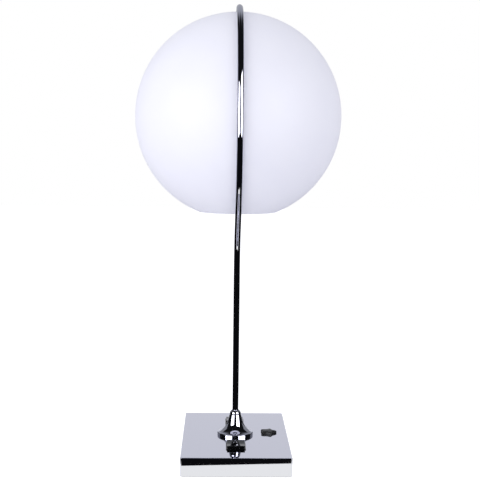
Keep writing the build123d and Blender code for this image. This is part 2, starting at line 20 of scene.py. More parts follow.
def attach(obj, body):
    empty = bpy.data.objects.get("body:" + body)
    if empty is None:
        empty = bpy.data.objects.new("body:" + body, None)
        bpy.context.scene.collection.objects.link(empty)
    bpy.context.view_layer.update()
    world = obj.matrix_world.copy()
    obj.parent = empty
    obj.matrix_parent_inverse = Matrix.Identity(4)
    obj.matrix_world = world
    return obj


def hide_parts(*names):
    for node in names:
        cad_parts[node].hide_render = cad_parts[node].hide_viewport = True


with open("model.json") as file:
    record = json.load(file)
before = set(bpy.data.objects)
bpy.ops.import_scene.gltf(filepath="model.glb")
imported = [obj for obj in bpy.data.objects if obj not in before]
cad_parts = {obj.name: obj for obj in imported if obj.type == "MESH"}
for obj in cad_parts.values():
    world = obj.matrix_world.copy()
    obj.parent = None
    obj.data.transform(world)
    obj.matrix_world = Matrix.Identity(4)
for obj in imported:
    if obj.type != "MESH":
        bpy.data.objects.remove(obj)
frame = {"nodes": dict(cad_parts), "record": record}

scene = bpy.context.scene
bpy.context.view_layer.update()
MM = 0.001
scene.view_settings.view_transform = "Standard"

# %% [markdown]
# ## The camera
# The oblong base and the globe fix the camera: the base's corners and front edge give the place and the
# tilt, and the nearly round outline of the globe says that the lens is a telephoto, far away. The camera
# looks a little down and a little to the right.

# %% Camera
CAMERA_MM = (-26.7, -1432.3, 448.2)
YAW, PITCH, ROLL = radians(1.232), radians(5.274), radians(-0.637)
LENS_MM, SENSOR_MM = 74.0, 36.0
NEAREST_M, FARTHEST_M = 0.01, 100.0


def camera_axes(yaw, pitch, roll):
    """Right, up and backward axes: forward is turned by yaw about Z and tipped down by pitch, then rolled."""
    forward = np.array([np.sin(yaw) * np.cos(pitch), np.cos(yaw) * np.cos(pitch), -np.sin(pitch)])
    level = np.array([np.cos(yaw), -np.sin(yaw), 0.0])
    down = np.cross(forward, level)
    right = np.cos(roll) * level + np.sin(roll) * down
    return right, np.cross(right, forward), -forward


camera_data = bpy.data.cameras.new("photo_camera")
camera_data.sensor_width = SENSOR_MM
camera_data.lens = LENS_MM
camera_data.clip_start, camera_data.clip_end = NEAREST_M, FARTHEST_M
camera = bpy.data.objects.new("photo_camera", camera_data)
scene.collection.objects.link(camera)
turn = Matrix(np.array(camera_axes(YAW, PITCH, ROLL)).T.tolist())
camera.matrix_world = Matrix.Translation(Vector(CAMERA_MM) * MM) @ turn.to_4x4()
scene.camera = camera
print("camera at", [round(v, 3) for v in camera.location])

# %% [markdown]
# ## Helpers for colours and shader nodes
# Colours are written as sRGB hex, as a paint chart gives them, and turned to the linear values that the
# renderer mixes. One function adds any shader node, sets its values and links its inputs.

# %% Colour and node helpers


def linear(hex_code):
    """sRGB hex to linear RGBA: a channel c becomes ((c + 0.055) / 1.055) ** 2.4, or c / 12.92 when dark."""
    c = np.array([int(hex_code[i:i + 2], 16) for i in (0, 2, 4)]) / 255
    rgb = np.where(c > 0.04045, ((c + 0.055) / 1.055) ** 2.4, c / 12.92)
    return (*rgb.tolist(), 1.0)


def add(tree, kind, inputs=None, **settings):
    """Add a node: settings go on the node, and each input takes a value or another node's output."""
    node = tree.nodes.new(kind)
    for key, value in settings.items():
        setattr(node, key, value)
    for key, value in (inputs or {}).items():
        if isinstance(value, bpy.types.NodeSocket):
            tree.links.new(value, node.inputs[key])
        else:
            node.inputs[key].default_value = value
    return node


def new_material(name):
    """An empty node material and the output node that its shader goes to."""
    material = bpy.data.materials.new(name)
    material.use_nodes = True
    material.node_tree.nodes.clear()
    return material, material.node_tree, add(material.node_tree, "ShaderNodeOutputMaterial")


def per_mm(size_mm):
    """Texture scale at which one feature of a noise is size_mm across, on coordinates in metres."""
    return 1.0 / (size_mm * MM)


print("white is", linear("FFFFFF")[:3])

# %% [markdown]
# ## The studio
# Chrome has no colour of its own: it shows the room. The room here is a pale backdrop behind the lamp, a
# grey stretch above it, a dark ceiling, a dark camera side, two white reflectors that lean away left and
# right of the camera, and two grey cloths behind the lamp at either side. The tube, the foot and the base
# only look right when each of these is where it was.
#
# Only reflections see the backdrop, the reflectors and the cloths; two softboxes and an even room light the
# globe and the floor. The camera sees the floor, and the sweep behind it, as white. Black cards lie on the
# floor in front of the lamp and beside it, and a white strip lies along the base's front edge; only
# reflections see them, as a photographer's cards do.

# %% Sweep and ceiling
WHITE_SWEEP, DIM_SWEEP, ROOM_TINT = "FFFFFF", "EDF0FA", "F0F1FA"
DIM_STRENGTH, DARK_STRENGTH, ROOM_STRENGTH = 0.5, 0.01, 0.91
# Where the mirrored room fades in or out, in the unit direction: at Y + Z, at Z, at Z, and at the size of X
BACK_FADE, CEILING_FADE, FLOOR_FADE, SIDE_FADE = (0.78, 1.18), (0.94, 0.68), (-0.01, 0.02), (0.5, 0.25)
world = bpy.data.worlds.new("studio")
scene.world = world
world.use_nodes = True
tree = world.node_tree
tree.nodes.clear()
direction = add(tree, "ShaderNodeTexCoord").outputs["Generated"]
parts = add(tree, "ShaderNodeSeparateXYZ", {"Vector": direction})
high_and_back = add(tree, "ShaderNodeMath", {0: parts.outputs["Y"], 1: parts.outputs["Z"]}, operation="ADD")
behind = add(tree, "ShaderNodeMapRange",
             {"Value": high_and_back.outputs[0], "From Min": BACK_FADE[0], "From Max": BACK_FADE[1],
              "To Max": DIM_STRENGTH}, interpolation_type="SMOOTHSTEP")
below_ceiling = add(tree, "ShaderNodeMapRange",
                    {"Value": parts.outputs["Z"], "From Min": CEILING_FADE[0], "From Max": CEILING_FADE[1]},
                    interpolation_type="SMOOTHSTEP")
above_floor = add(tree, "ShaderNodeMapRange",
                  {"Value": parts.outputs["Z"], "From Min": FLOOR_FADE[0], "From Max": FLOOR_FADE[1]})
level = add(tree, "ShaderNodeMath", {0: below_ceiling.outputs[0], 1: above_floor.outputs[0]},
            operation="MULTIPLY")
aside = add(tree, "ShaderNodeMath", {0: parts.outputs["X"]}, operation="ABSOLUTE")
narrow = add(tree, "ShaderNodeMapRange",
             {"Value": aside.outputs[0], "From Min": SIDE_FADE[0], "From Max": SIDE_FADE[1]},
             interpolation_type="SMOOTHSTEP")
upper = add(tree, "ShaderNodeMath", {0: behind.outputs[0], 1: narrow.outputs[0]}, operation="MULTIPLY")
mirrored = add(tree, "ShaderNodeMath", {0: upper.outputs[0], 1: level.outputs[0], 2: DARK_STRENGTH},
               operation="MULTIPLY_ADD")
path = add(tree, "ShaderNodeLightPath")
is_mirror = add(tree, "ShaderNodeMath",
                {0: path.outputs["Is Glossy Ray"], 1: path.outputs["Is Transmission Ray"]},
                operation="MAXIMUM")
room = add(tree, "ShaderNodeBackground", {"Color": linear(ROOM_TINT), "Strength": ROOM_STRENGTH})
sweep = add(tree, "ShaderNodeBackground", {"Color": linear(DIM_SWEEP), "Strength": mirrored.outputs[0]})
seen = add(tree, "ShaderNodeBackground", {"Color": linear(WHITE_SWEEP), "Strength": 1.0})
indirect = add(tree, "ShaderNodeMixShader",
               {0: is_mirror.outputs[0], 1: room.outputs[0], 2: sweep.outputs[0]})
final = add(tree, "ShaderNodeMixShader",
            {0: path.outputs["Is Camera Ray"], 1: indirect.outputs[0], 2: seen.outputs[0]})
add(tree, "ShaderNodeOutputWorld", {"Surface": final.outputs[0]})
print("world has", len(tree.nodes), "nodes")

# %% Softboxes
SOFTBOX_DISTANCE, SOFTBOX_WIDTH = 1.1, 0.94


def softbox(name, azimuth, height, radiance, colour):
    """A rectangle that stands on the floor and faces the lamp: power = radiance * area * pi."""
    data = bpy.data.lights.new(name, "AREA")
    data.shape = "RECTANGLE"
    data.size, data.size_y = SOFTBOX_WIDTH, height
    data.energy = radiance * SOFTBOX_WIDTH * height * np.pi
    data.color = linear(colour)[:3]
    lamp = bpy.data.objects.new(name, data)
    scene.collection.objects.link(lamp)
    turn = radians(azimuth)
    lamp.location = (SOFTBOX_DISTANCE * np.sin(turn), -SOFTBOX_DISTANCE * np.cos(turn), height / 2)
    lamp.rotation_euler = (radians(90), 0, turn)
    lamp.visible_camera = lamp.visible_glossy = False


softbox("softbox_left", azimuth=-50, height=1.3, radiance=0.93, colour="FDFDFF")
softbox("softbox_right", azimuth=50, height=1.5, radiance=0.24, colour="FFFCF8")
print("two softboxes at", SOFTBOX_DISTANCE, "m")

# %% Reflectors
FRONT_EDGES, SIDE_EDGES = (21.0, 65.0), (116.0, 156.0)
WHITE_LOW, LEFT_HIGH, RIGHT_HIGH = (1.3, 0.125), (3.0, 1.95), (3.2, 2.75)
GREY_LOW, GREY_HIGH = (1.0, 0.15), (1.0, 0.75)
BACK_HALF, BACK_Y, BACK_TOP = 1.0, 2.0, 0.8
BACK_GLOW, WHITE_GLOW, GREY_GLOW = 0.89, 5.0, 0.36


def panel(name, corners):
    """One four-cornered face that belongs to the studio."""
    mesh = bpy.data.meshes.new(name)
    mesh.from_pydata(corners, [], [(0, 1, 2, 3)])
    face = bpy.data.objects.new(name, mesh)
    scene.collection.objects.link(face)
    return face


def reflector(name, side, azimuths, low, high):
    """A panel between two azimuths from the camera's side: low and high are its edges' (distance, height)."""
    inner, outer = side * np.radians(azimuths)
    edges = (low, inner), (low, outer), (high, outer), (high, inner)
    return panel(name, [(d * np.sin(turn), -d * np.cos(turn), z) for (d, z), turn in edges])


def glowing(name, colour, strength):
    """A plain material that only glows."""
    material, tree, output = new_material(name)
    light = add(tree, "ShaderNodeEmission", {"Color": linear(colour), "Strength": strength})
    tree.links.new(light.outputs[0], output.inputs["Surface"])
    return material


def mirrored_only(face, material):
    """Let only mirror images see a face: it casts no light and no shadow."""
    face.data.materials.append(material)
    face.visible_camera = face.visible_diffuse = face.visible_shadow = False


backdrop = panel("backdrop", [(-BACK_HALF, BACK_Y, 0), (BACK_HALF, BACK_Y, 0), (BACK_HALF, BACK_Y, BACK_TOP),
                              (-BACK_HALF, BACK_Y, BACK_TOP)])
mirrored_only(backdrop, glowing("pale backdrop", "F8F9FF", BACK_GLOW))
white_cloth = glowing("lit white cloth", "FDFDFF", WHITE_GLOW)
grey_cloth = glowing("grey cloth", "F4F6FC", GREY_GLOW)
mirrored_only(reflector("reflector_left", -1, FRONT_EDGES, WHITE_LOW, LEFT_HIGH), white_cloth)
mirrored_only(reflector("reflector_right", 1, FRONT_EDGES, WHITE_LOW, RIGHT_HIGH), white_cloth)
mirrored_only(reflector("grey_left", -1, SIDE_EDGES, GREY_LOW, GREY_HIGH), grey_cloth)
mirrored_only(reflector("grey_right", 1, SIDE_EDGES, GREY_LOW, GREY_HIGH), grey_cloth)
print("a backdrop, two reflectors and two grey cloths")

# %% Floor
FLOOR_HALF, FLOOR_GLOW = 6.0, 0.86


def flat_panel(name, low, high, height):
    """A flat rectangle between two corners in the plan, at one height."""
    x0, y0, x1, y1 = *low, *high
    return panel(name, [(x0, y0, height), (x1, y0, height), (x1, y1, height), (x0, y1, height)])


floor_paper, tree, output = new_material("white paper floor")
path = add(tree, "ShaderNodeLightPath")
shade = add(tree, "ShaderNodeBsdfDiffuse", {"Color": linear("F4F4F8")})
lit = add(tree, "ShaderNodeBsdfDiffuse", {"Color": linear("B9B9BD")})
glow = add(tree, "ShaderNodeEmission", {"Color": linear(WHITE_SWEEP), "Strength": FLOOR_GLOW})
white = add(tree, "ShaderNodeAddShader", {0: lit.outputs[0], 1: glow.outputs[0]})
seen = add(tree, "ShaderNodeMath", {0: path.outputs["Is Camera Ray"], 1: path.outputs["Is Glossy Ray"]},
           operation="MAXIMUM")
seen = add(tree, "ShaderNodeMath", {0: seen.outputs[0], 1: path.outputs["Is Transmission Ray"]},
           operation="MAXIMUM")
both = add(tree, "ShaderNodeMixShader", {0: seen.outputs[0], 1: shade.outputs[0], 2: white.outputs[0]})
tree.links.new(both.outputs[0], output.inputs["Surface"])
floor = flat_panel("floor", (-FLOOR_HALF, -FLOOR_HALF), (FLOOR_HALF, FLOOR_HALF), 0.0)
floor.data.materials.append(floor_paper)
print("floor is", 2 * FLOOR_HALF, "m wide")

# %% Cards
BASE_FRONT, PAPER_FRONT, PAPER_SIDE = -0.1165, -0.150, 0.132
CARD_LIFT, STRIP_LIFT, STRIP_LEFT, STRIP_RIGHT = 0.0004, 0.0006, 0.0425, 0.0635
CARD_GLOW, STRIP_GLOW = 1.0, 1.36
black_card = glowing("black card", "101012", CARD_GLOW)
white_card = glowing("white card", "FFFFF5", STRIP_GLOW)
cards = [flat_panel("card_front", (-FLOOR_HALF, -FLOOR_HALF), (FLOOR_HALF, PAPER_FRONT), CARD_LIFT),
         flat_panel("card_left", (-FLOOR_HALF, PAPER_FRONT), (-PAPER_SIDE, FLOOR_HALF), CARD_LIFT),
         flat_panel("card_right", (PAPER_SIDE, PAPER_FRONT), (FLOOR_HALF, FLOOR_HALF), CARD_LIFT)]
strip = flat_panel("card_strip", (-PAPER_SIDE, BASE_FRONT), (PAPER_SIDE, BASE_FRONT), STRIP_LIFT)
strip.data.vertices[0].co.y -= STRIP_LEFT
strip.data.vertices[1].co.y -= STRIP_RIGHT
for card in cards:
    mirrored_only(card, black_card)
mirrored_only(strip, white_card)
print(len(cards), "black cards and a white strip")

# %% [markdown]
# ## Surfaces from formulas
# Most pieces are turned or swept: a profile goes round an axis, or a circle goes along a line. Both fill a
# grid of points, row by row, and neighbouring points make the faces. Sharp corners look false on chrome,
# so every profile gets small rounded corners first.

# %% Grid helpers
SHARP_FROM = radians(35)


def grid_faces(rows, columns, loop_rows):
    """Quads of a grid whose columns close into rings; its rows close too when loop_rows is true."""
    index = np.arange(rows * columns).reshape(rows, columns)
    if loop_rows:
        index = np.vstack([index, index[:1]])
    a, b = index[:-1], index[1:]
    return np.stack([a, b, np.roll(b, -1, 1), np.roll(a, -1, 1)], -1).reshape(-1, 4)


def volume(points, faces):
    """Signed volume: the sum over fan triangles of p0 . (p1 x p2) / 6, negative when a mesh is inside out."""
    total = 0.0
    for k in range(1, faces.shape[1] - 1):
        p0, p1, p2 = points[faces[:, 0]], points[faces[:, k]], points[faces[:, k + 1]]
        total += np.einsum("ij,ij->", p0, np.cross(p1, p2)) / 6
    return total


def piece_from_grid(name, grid, material, node, body, caps=False):
    """Put a grid of points in mm into a mesh that stands for a node; caps close its first and last rings."""
    rows, columns = grid.shape[:2]
    points = grid.reshape(-1, 3) * MM
    faces = grid_faces(rows, columns, not caps)
    ends = [np.arange(columns), np.arange(columns)[::-1] + (rows - 1) * columns] if caps else []
    size = volume(points, faces) + sum(volume(points, end[None, :]) for end in ends)
    flip = -1 if size < 0 else 1
    polygons = [list(map(int, f[::flip])) for f in [*faces, *ends]]
    mesh = bpy.data.meshes.new(name)
    mesh.from_pydata(points, [], polygons)
    mesh.shade_smooth()
    mesh.set_sharp_from_angle(angle=SHARP_FROM)
    piece = bpy.data.objects.new(name, mesh)
    scene.collection.objects.link(piece)
    dress(piece, material, node, body)


def dress(piece, material, node, body):
    """Give a piece its material and its body, and hide the node of the model that it stands for."""
    piece.data.materials.clear()
    piece.data.materials.append(material)
    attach(piece, body)
    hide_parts(node)
    print(f"{piece.name}: {len(piece.data.polygons)} faces")


def rounded(corners, radii, steps=6):
    """Closed outline with each corner cut back to an arc: the arc's ends lie r / tan(half angle) from it."""
    p = np.array(corners, float)
    radii = np.broadcast_to(np.array(radii, float), len(p))
    before, after = np.roll(p, 1, 0) - p, np.roll(p, -1, 0) - p
    before /= np.linalg.norm(before, axis=1)[:, None]
    after /= np.linalg.norm(after, axis=1)[:, None]
    half = np.arccos(np.clip((before * after).sum(1), -1, 1)) / 2
    middle = before + after
    middle /= np.linalg.norm(middle, axis=1)[:, None]
    centre = p + middle * (radii / np.sin(half))[:, None]
    start = p + before * (radii / np.tan(half))[:, None] - centre
    end = p + after * (radii / np.tan(half))[:, None] - centre
    t = np.linspace(0, 1, steps)[None, :, None]
    span = (np.pi - 2 * half)[:, None, None]
    arc = (np.sin((1 - t) * span) * start[:, None] + np.sin(t * span) * end[:, None]) / np.sin(span)
    return (centre[:, None] + arc).reshape(-1, 2)


def turned(profile, offset_y=0.0, *, segments):
    """Grid of a profile of (radius, height) rows turned about a vertical axis at x = 0, y = offset_y."""
    angle = np.linspace(0, 2 * np.pi, segments, endpoint=False)
    r, z = profile[:, :1], profile[:, 1:]
    return np.stack([r * np.cos(angle), offset_y + r * np.sin(angle), z + 0 * angle], -1)


def outward(outline):
    """Unit normals of an outline that runs anticlockwise: the tangent between neighbours, turned right."""
    tangent = np.roll(outline, -1, 0) - np.roll(outline, 1, 0)
    tangent /= np.linalg.norm(tangent, axis=1)[:, None]
    return np.stack([tangent[:, 1], -tangent[:, 0]], 1)


def arc_points(centre, radius, start, end, steps):
    """Points on a circle from one angle in degrees to another."""
    angle = np.radians(np.linspace(start, end, steps))
    return np.stack([centre[0] + radius * np.cos(angle), centre[1] + radius * np.sin(angle)], 1)


print("grid helpers ready")

# %% [markdown]
# ## Finishes
# Each finish starts from what the surface really is. Chrome is bright nickel and chromium over polished
# steel: almost a mirror, a little grey and a little blue. The globe is satin opal acrylic, blow-moulded,
# so it has no grain but a very soft sheen. The switches and the knob are moulded ABS.

# %% Chrome plate


def chrome_plate():
    """Polished plate: chromium reflects a little over half of the light, slightly more blue than red.
    Haze patches of 12 mm and wipe marks of 0.8 mm vary the roughness, too little to blur the room."""
    material, tree, output = new_material("polished chrome plate")
    place = add(tree, "ShaderNodeTexCoord").outputs["Object"]
    haze = add(tree, "ShaderNodeTexNoise", {"Vector": place, "Scale": per_mm(12), "Detail": 3.0})
    wipe = add(tree, "ShaderNodeTexNoise", {"Vector": place, "Scale": per_mm(0.8), "Detail": 2.0})
    both = add(tree, "ShaderNodeMath", {0: haze.outputs["Fac"], 1: wipe.outputs["Fac"]}, operation="MULTIPLY")
    rough = add(tree, "ShaderNodeMapRange", {"Value": both.outputs[0], "From Min": 0.1, "From Max": 0.45,
                                             "To Min": 0.012, "To Max": 0.05})
    shader = add(tree, "ShaderNodeBsdfPrincipled", {"Base Color": linear("C6C7D3"), "Metallic": 1.0,
                                                    "Roughness": rough.outputs[0]})
    tree.links.new(shader.outputs[0], output.inputs["Surface"])
    return material


chrome = chrome_plate()
print("made", chrome.name)

# %% Opal acrylic


def opal_acrylic():
    """Satin opal acrylic: a milky white body, faintly cloudy every 40 mm, under a soft sheen.
    The mould's grain is drawn 0.6 mm across, coarser than it is, so that it shows."""
    material, tree, output = new_material("satin opal acrylic")
    place = add(tree, "ShaderNodeTexCoord").outputs["Object"]
    cloud = add(tree, "ShaderNodeTexNoise", {"Vector": place, "Scale": per_mm(40), "Detail": 2.0})
    milk = add(tree, "ShaderNodeMix", {0: cloud.outputs["Fac"], 6: linear("F4F4FA"), 7: linear("F8F8FC")},
               data_type="RGBA")
    grain = add(tree, "ShaderNodeTexNoise", {"Vector": place, "Scale": per_mm(0.6), "Detail": 2.0})
    bump = add(tree, "ShaderNodeBump",
               {"Height": grain.outputs["Fac"], "Strength": 0.05, "Distance": 0.02 * MM})
    shader = add(tree, "ShaderNodeBsdfPrincipled",
                 {"Base Color": milk.outputs[2], "Roughness": 0.55, "IOR": 1.49, "Specular IOR Level": 0.25,
                  "Normal": bump.outputs[0]})
    tree.links.new(shader.outputs[0], output.inputs["Surface"])
    return material


opal = opal_acrylic()
print("made", opal.name)

# %% Moulded plastics


def moulded_plastic(name, dark, pale, rough_low, rough_high, grain_mm, depth_mm):
    """Injection-moulded plastic: one colour with slight flow marks, and a fine spark-eroded grain."""
    material, tree, output = new_material(name)
    place = add(tree, "ShaderNodeTexCoord").outputs["Object"]
    flow = add(tree, "ShaderNodeTexNoise", {"Vector": place, "Scale": per_mm(9), "Detail": 3.0})
    tint = add(tree, "ShaderNodeMix", {0: flow.outputs["Fac"], 6: linear(dark), 7: linear(pale)},
               data_type="RGBA")
    rough = add(tree, "ShaderNodeMapRange", {"Value": flow.outputs["Fac"], "From Min": 0.3, "From Max": 0.7,
                                             "To Min": rough_low, "To Max": rough_high})
    grain = add(tree, "ShaderNodeTexNoise", {"Vector": place, "Scale": per_mm(grain_mm), "Detail": 3.0})
    bump = add(tree, "ShaderNodeBump",
               {"Height": grain.outputs["Fac"], "Strength": 0.35, "Distance": depth_mm * MM})
    shader = add(tree, "ShaderNodeBsdfPrincipled",
                 {"Base Color": tint.outputs[2], "Roughness": rough.outputs[0], "IOR": 1.53,
                  "Normal": bump.outputs[0]})
    tree.links.new(shader.outputs[0], output.inputs["Surface"])
    return material


black_abs = moulded_plastic("gloss black ABS", "060607", "0B0B0D", 0.05, 0.09, 0.5, 0.001)
satin_abs = moulded_plastic("satin black ABS", "09090A", "0E0E0F", 0.40, 0.48, 0.5, 0.004)
white_moulding = moulded_plastic("white heat-proof moulding", "D8D6CE", "E4E2DA", 0.35, 0.5, 0.5, 0.01)
wire_sheath = moulded_plastic("grey wire sheath", "B9BABC", "C6C7C9", 0.4, 0.55, 0.4, 0.01)
rubber = moulded_plastic("black rubber", "121213", "1B1B1C", 0.6, 0.8, 0.4, 0.02)
print("five plastics")

# %% Plain metals
ROUGH_SPREAD = 0.08


def worked_metal(name, dark, pale, roughness, grain_mm, depth_mm):
    """Unpolished metal: mottled by plating, rolling or casting, with the grain that the work left."""
    material, tree, output = new_material(name)
    place = add(tree, "ShaderNodeTexCoord").outputs["Object"]
    mottle = add(tree, "ShaderNodeTexNoise", {"Vector": place, "Scale": per_mm(4), "Detail": 4.0})
    tint = add(tree, "ShaderNodeMix", {0: mottle.outputs["Fac"], 6: linear(dark), 7: linear(pale)},
               data_type="RGBA")
    grain = add(tree, "ShaderNodeTexNoise", {"Vector": place, "Scale": per_mm(grain_mm), "Detail": 4.0})
    rough = add(tree, "ShaderNodeMapRange", {"Value": grain.outputs["Fac"], "From Min": 0.3, "From Max": 0.7,
                                             "To Min": roughness - ROUGH_SPREAD,
                                             "To Max": roughness + ROUGH_SPREAD})
    bump = add(tree, "ShaderNodeBump",
               {"Height": grain.outputs["Fac"], "Strength": 0.5, "Distance": depth_mm * MM})
    shader = add(tree, "ShaderNodeBsdfPrincipled", {"Base Color": tint.outputs[2], "Metallic": 1.0,
                                                    "Roughness": rough.outputs[0], "Normal": bump.outputs[0]})
    tree.links.new(shader.outputs[0], output.inputs["Surface"])
    return material


zinc_steel = worked_metal("zinc-plated steel", "A9ACB0", "C4C7CA", 0.32, 0.7, 0.01)
brass = worked_metal("stamped brass", "B08D3E", "CDAA5A", 0.28, 0.6, 0.01)
cast_iron = worked_metal("cast iron", "2A2A2C", "3C3C3F", 0.62, 1.5, 0.15)
cap_aluminium = worked_metal("rolled aluminium", "B5B6B8", "C9CACB", 0.3, 0.5, 0.01)
print("four metals")

# %% Felt and frosted glass


def wool_felt():
    """Pressed wool felt: no weave, only short fibres in clumps of 0.5 mm, and a soft sheen."""
    material, tree, output = new_material("black wool felt")
    place = add(tree, "ShaderNodeTexCoord").outputs["Object"]
    stretch = add(tree, "ShaderNodeMapping", {"Vector": place, "Scale": (1.0, 2.2, 1.0)})
    fibre = add(tree, "ShaderNodeTexNoise",
                {"Vector": stretch.outputs[0], "Scale": per_mm(0.5), "Detail": 6.0, "Distortion": 1.5})
    tint = add(tree, "ShaderNodeMix", {0: fibre.outputs["Fac"], 6: linear("0D0D0F"), 7: linear("26262A")},
               data_type="RGBA")
    bump = add(tree, "ShaderNodeBump",
               {"Height": fibre.outputs["Fac"], "Strength": 0.8, "Distance": 0.2 * MM})
    shader = add(tree, "ShaderNodeBsdfPrincipled", {"Base Color": tint.outputs[2], "Roughness": 0.95,
                                                    "Sheen Weight": 0.3, "Normal": bump.outputs[0]})
    tree.links.new(shader.outputs[0], output.inputs["Surface"])
    return material


def frosted_glass():
    """Lamp glass coated white on the inside: a pale body under a gloss skin, with some light let through."""
    material, tree, output = new_material("white-coated lamp glass")
    place = add(tree, "ShaderNodeTexCoord").outputs["Object"]
    coat = add(tree, "ShaderNodeTexNoise", {"Vector": place, "Scale": per_mm(15), "Detail": 3.0})
    tint = add(tree, "ShaderNodeMix", {0: coat.outputs["Fac"], 6: linear("EEEDE8"), 7: linear("F5F4F0")},
               data_type="RGBA")
    shader = add(tree, "ShaderNodeBsdfPrincipled",
                 {"Base Color": tint.outputs[2], "Roughness": 0.12, "IOR": 1.5, "Transmission Weight": 0.15})
    tree.links.new(shader.outputs[0], output.inputs["Surface"])
    return material


felt = wool_felt()
lamp_glass = frosted_glass()
print("felt and lamp glass")

# %% [markdown]
# ## Every node gets its finish
# The model's record says which material slot each node belongs to, so one table of slots dresses them all.
# The pieces below then stand for the nodes whose surface should be finer.

# %% Finishes by slot
finish_of_slot = {
    "chrome_plate": chrome, "opal_acrylic": opal, "black_plastic": black_abs, "felt": felt,
    "zinc_steel": zinc_steel, "cast_iron": cast_iron, "brass": brass, "black_rubber": rubber,
    "wire_sheath": wire_sheath, "white_moulding": white_moulding, "lamp_glass": lamp_glass,
    "lamp_cap_metal": cap_aluminium,
}
slot_of_node = {row["node"]: row["material_slot"] for row in frame["record"]["subparts"]}
for name, node in frame["nodes"].items():
    node.material_slots[0].material = finish_of_slot[slot_of_node[name]]
print(len(slot_of_node), "nodes dressed")

# %% [markdown]
# ## The globe
# A blow-moulded ball with an open mouth below and a hole above for the tube. It could be two spheres with a
# cut, but then its lips would be knife edges; turning one closed profile gives a wall with soft lips.

# %% Globe
GLOBE_Y, GLOBE_Z, GLOBE_R, GLOBE_WALL = 20.0, 494.8, 150.0, 2.5
MOUTH_R, TOP_HOLE_R = 56.5, 14.5
LIP_TURN, LIP_INNER_CUT, LIP_OUTER_CUT = 0.3, 0.5, 0.6


def globe_profile():
    """Closed profile of (radius, height): up the outer circle from mouth to hole, and down the inner one.
    Each circle stops a little short of the mouth, and two points at the mouth cut the lip's corners."""
    inner = GLOBE_R - GLOBE_WALL
    mouth_z = -np.sqrt(GLOBE_R**2 - MOUTH_R**2)
    mouth_in = np.degrees(np.arcsin(mouth_z / inner))
    mouth_out = np.degrees(np.arcsin(mouth_z / GLOBE_R))
    hole_out, hole_in = np.degrees(np.arccos([TOP_HOLE_R / GLOBE_R, TOP_HOLE_R / inner]))
    outer = arc_points((0, 0), GLOBE_R, mouth_out + LIP_TURN, hole_out, 120)
    back = arc_points((0, 0), inner, hole_in, mouth_in + LIP_TURN, 100)
    lip_in = inner * np.cos(np.radians(mouth_in))
    lip = np.array([[lip_in + LIP_INNER_CUT, mouth_z], [MOUTH_R - LIP_OUTER_CUT, mouth_z]])
    return np.vstack([outer, back, lip]) + (0, GLOBE_Z)


globe_grid = turned(globe_profile(), GLOBE_Y, segments=192)
piece_from_grid("opal_globe", globe_grid, opal, "globe_shade", "lamp")

# %% [markdown]
# ## The arched tube
# One chrome tube, bent on a mandrel: it rises, leans forward, hugs the globe and dips into its top. A curve
# object with a bevel would do, but the bends are true arcs, so the centre line is worked out run by run and
# a circle is carried along it.

# %% Arched tube
TUBE_R, TUBE_BORE_R, TUBE_START_Z, TUBE_END_Z = 4.5, 3.5, 31.0, 613.7
LEAN, LOWER_BEND_R, UPPER_BEND_R, ARCH_R = 48.0, 85.0, 14.0, 155.7


def tube_line():
    """Centre line in the plane x = 0 as (y, z, heading): straight runs and arcs, each tangent to the last.
    Heading is the angle from straight up, positive towards the viewer; an arc of radius r and centre c has
    the points c + r * (direction square to the heading)."""
    lean = np.radians(LEAN)
    tip = np.arcsin(UPPER_BEND_R / (ARCH_R - UPPER_BEND_R))
    start_y, start_z = GLOBE_Y - ARCH_R * np.cos(lean), GLOBE_Z - ARCH_R * np.sin(lean)
    run = (-start_y - LOWER_BEND_R * (1 - np.cos(lean))) / np.sin(lean)
    bend_z = start_z - run * np.cos(lean) - LOWER_BEND_R * np.sin(lean)
    turn_y, turn_z = GLOBE_Y - UPPER_BEND_R, GLOBE_Z + (ARCH_R - UPPER_BEND_R) * np.cos(tip)
    rise_z = np.linspace(TUBE_START_Z, bend_z, 12)[:-1]
    rise = np.stack([0 * rise_z, rise_z, 0 * rise_z], 1)
    h = np.linspace(0, lean, 49)
    lower = np.stack([-LOWER_BEND_R * (1 - np.cos(h)), bend_z + LOWER_BEND_R * np.sin(h), h], 1)
    h = np.linspace(lean, tip - np.pi / 2, 181)
    arch = np.stack([GLOBE_Y - ARCH_R * np.cos(h), GLOBE_Z - ARCH_R * np.sin(h), h], 1)
    h = np.linspace(tip - np.pi / 2, -np.pi, 41)
    over = np.stack([turn_y - UPPER_BEND_R * np.cos(h), turn_z - UPPER_BEND_R * np.sin(h), h], 1)
    end = np.array([[GLOBE_Y, TUBE_END_Z, -np.pi]])
    return np.vstack([rise, lower, arch, over[1:], end])


def tube_grid(line, outer, bore, sides=48):
    """A circle square to the heading at each point of the line, out along the tube, back along its bore."""
    y, z, h = line.T[:, :, None]
    angle = np.linspace(0, 2 * np.pi, sides, endpoint=False)

    def shell(radius):
        across, off = radius * np.cos(angle), radius * np.sin(angle)
        return np.stack([across + 0 * y, y + off * np.cos(h), z + off * np.sin(h)], -1)

    return np.concatenate([shell(outer), shell(bore)[::-1]])


line = tube_line()
arched_grid = tube_grid(line, TUBE_R, TUBE_BORE_R)
piece_from_grid("arched_tube", arched_grid, chrome, "stem_tube", "lamp")
print("tube length", round(float(np.linalg.norm(np.diff(line[:, :2], axis=0), axis=1).sum())), "mm")

# %% [markdown]
# ## The trumpet foot and its collar
# A spun chrome trumpet hides the nut that clamps the tube. Its outline is a cone that runs into one wide arc,
# and the arc meets a rim with a rounded top edge. A small domed collar closes it round the tube.

